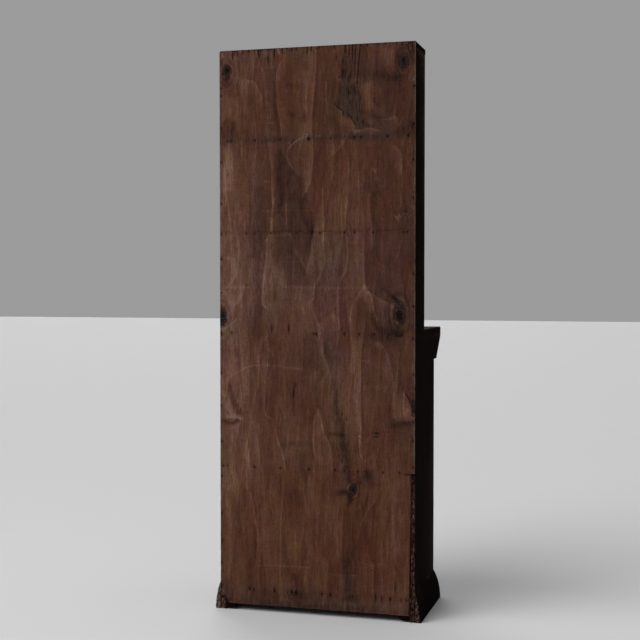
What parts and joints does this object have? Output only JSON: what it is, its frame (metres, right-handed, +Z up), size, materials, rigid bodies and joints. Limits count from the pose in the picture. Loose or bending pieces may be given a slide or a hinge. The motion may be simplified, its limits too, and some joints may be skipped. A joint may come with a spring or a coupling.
{
  "type": "storage cabinet",
  "caption": "Tall narrow step-back storage cabinet: shallow open shelves over a projecting counter with a slant-fronted drawer, above a two-door cupboard on a plinth.",
  "frame": {"origin": "on the floor, under the middle of the cabinet's footprint box (plinth width by counter depth)", "axes": "+Z up; -Y out of the front (doors and drawer), +Y out of the back sheet; +X to the right as seen from the front"},
  "size_m": [0.698, 0.456, 1.85],
  "materials": {
    "dark_stain": "dark brown stain, rubbed satin",
    "back_sheet": "bare aged softwood plywood, rotary-cut face",
    "bare_wood": "unfinished aged softwood",
    "knob_wood": "turned hardwood, waxed",
    "brass": "tarnished brass"
  },
  "bodies": {
    "case": {"side_board_left": "dark_stain", "side_board_right": "dark_stain", "top_board": "dark_stain", "counter_board": "dark_stain", "drawer_rail": "dark_stain", "base_rail": "dark_stain", "plinth_front": "dark_stain", "plinth_left": "dark_stain", "plinth_right": "dark_stain", "back_sheet": "back_sheet", "upper_shelf_low": "bare_wood", "upper_shelf_high": "bare_wood", "lower_shelf": "bare_wood", "bottom_board": "bare_wood", "drawer_runner_left": "bare_wood", "drawer_runner_right": "bare_wood", "glue_block_back_left": "bare_wood", "glue_block_back_right": "bare_wood", "glue_block_front_left": "bare_wood", "glue_block_front_right": "bare_wood", "case_leaf_left_foot": "brass", "hinge_pin_left_foot": "brass", "case_leaf_left_top": "brass", "hinge_pin_left_top": "brass", "case_leaf_right_foot": "brass", "hinge_pin_right_foot": "brass", "case_leaf_right_top": "brass", "hinge_pin_right_top": "brass"},
    "drawer": {"drawer_front": "dark_stain", "drawer_side_left": "bare_wood", "drawer_side_right": "bare_wood", "drawer_back": "bare_wood", "drawer_bottom": "bare_wood", "drawer_knob_left": "knob_wood", "drawer_knob_right": "knob_wood"},
    "left_door": {"left_door_hinge_stile": "dark_stain", "left_door_meeting_stile": "dark_stain", "left_door_foot_rail": "dark_stain", "left_door_top_rail": "dark_stain", "left_door_panel": "dark_stain", "door_leaf_left_foot": "brass", "door_leaf_left_top": "brass", "bolt_guide": "brass"},
    "right_door": {"right_door_hinge_stile": "dark_stain", "right_door_meeting_stile": "dark_stain", "right_door_foot_rail": "dark_stain", "right_door_top_rail": "dark_stain", "right_door_panel": "dark_stain", "door_leaf_right_foot": "brass", "door_leaf_right_top": "brass"},
    "latch": {"latch_knob": "knob_wood", "latch_spindle": "brass"},
    "bolt": {"bolt_rod": "brass"}
  },
  "joints": [
    {"name": "left_door_hinge", "type": "hinge", "parent": "case", "child": "left_door", "pos_m": [-0.30975, -0.1074, 0.4615], "axis": [0, 0, -1], "range_deg": [0, 170]},
    {"name": "right_door_hinge", "type": "hinge", "parent": "case", "child": "right_door", "pos_m": [0.30975, -0.1074, 0.4615], "axis": [0, 0, 1], "range_deg": [0, 170]},
    {"name": "drawer_slide", "type": "slide", "parent": "case", "child": "drawer", "axis": [0, -1, 0], "range_m": [0, 0.25]},
    {"name": "latch_turn", "type": "hinge", "parent": "right_door", "child": "latch", "pos_m": [0.0252, -0.104, 0.6], "axis": [0, 1, 0], "range_deg": [0, 90]},
    {"name": "bolt_slide", "type": "slide", "parent": "left_door", "child": "bolt", "axis": [0, 0, 1], "range_m": [0, 0.008]}
  ]
}
